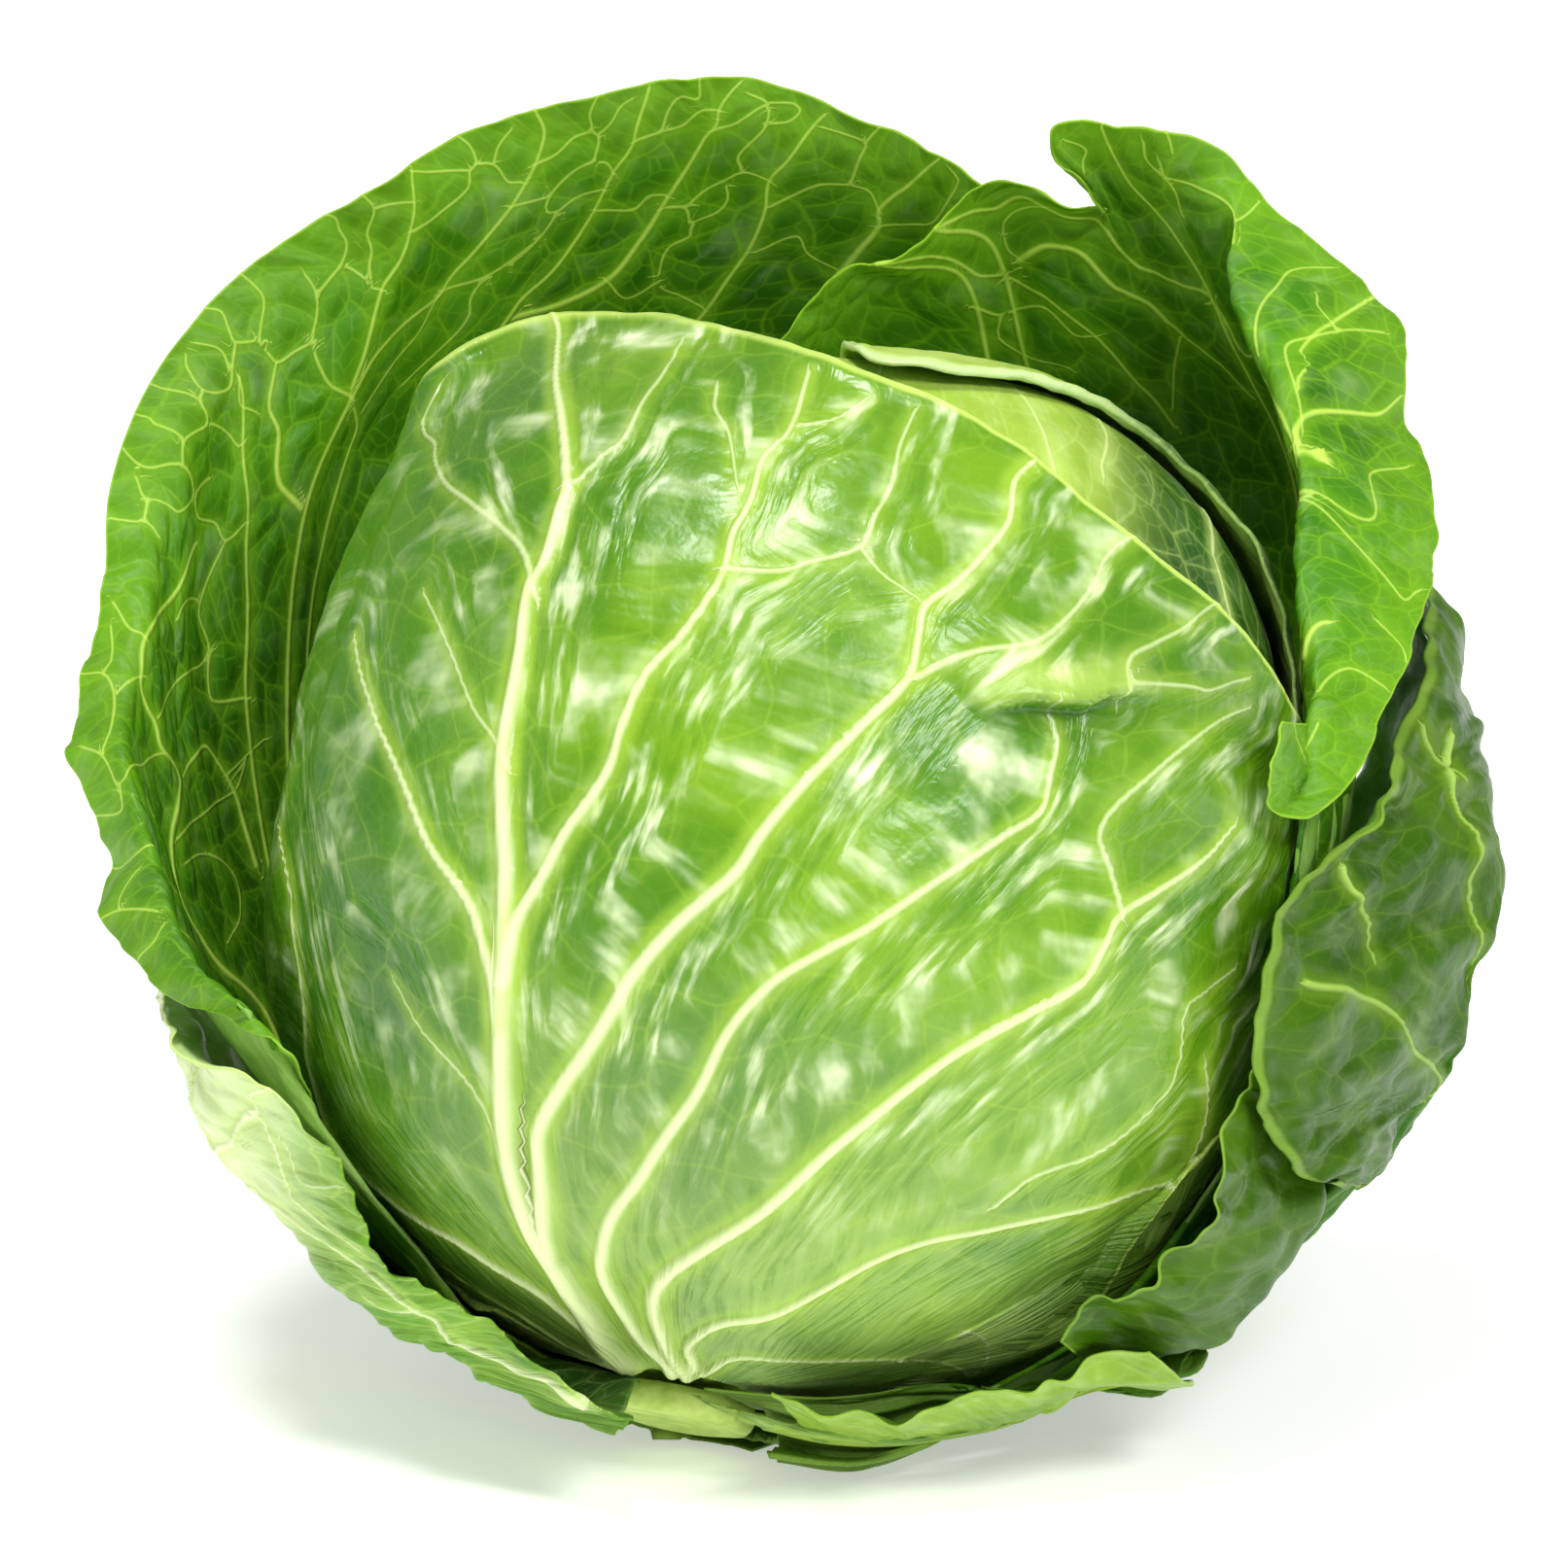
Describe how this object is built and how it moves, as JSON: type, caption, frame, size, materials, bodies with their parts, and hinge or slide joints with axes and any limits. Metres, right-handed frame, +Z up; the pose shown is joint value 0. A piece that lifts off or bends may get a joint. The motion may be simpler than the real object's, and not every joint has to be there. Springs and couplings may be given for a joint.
{
  "type": "cabbage head",
  "caption": "Green cabbage head with a cut stem, ribbed cover leaves and loose wrapper leaves, resting on its stem end.",
  "frame": {"origin": "middle of the object's footprint, on the surface that it rests on", "axes": "+Z up, +X to the right across both wrapper leaves, -Y towards the side that shows the front cover leaf; the stem points down and towards -Y"},
  "size_m": [0.2221, 0.1848, 0.1949],
  "materials": {
    "stem": "moist cut pith, matt",
    "heart_leaf": "pale waxy leaf, soft gloss",
    "cover_leaf": "pale green waxy leaf with raised ribs, soft gloss",
    "wrapper_leaf": "dark green waxy leaf with a net of pale veins, satin"
  },
  "bodies": {
    "root": {"stem": "stem", "heart": "heart_leaf", "cover_leaf_rolled": "cover_leaf", "cover_leaf_front": "cover_leaf", "wrapper_right": "wrapper_leaf", "wrapper_left": "wrapper_leaf", "wrapper_right_low": "wrapper_leaf", "leaf_lower_right": "wrapper_leaf", "leaf_lower_left": "wrapper_leaf", "leaf_bottom": "wrapper_leaf", "wrapper_back": "wrapper_leaf"}
  },
  "joints": []
}
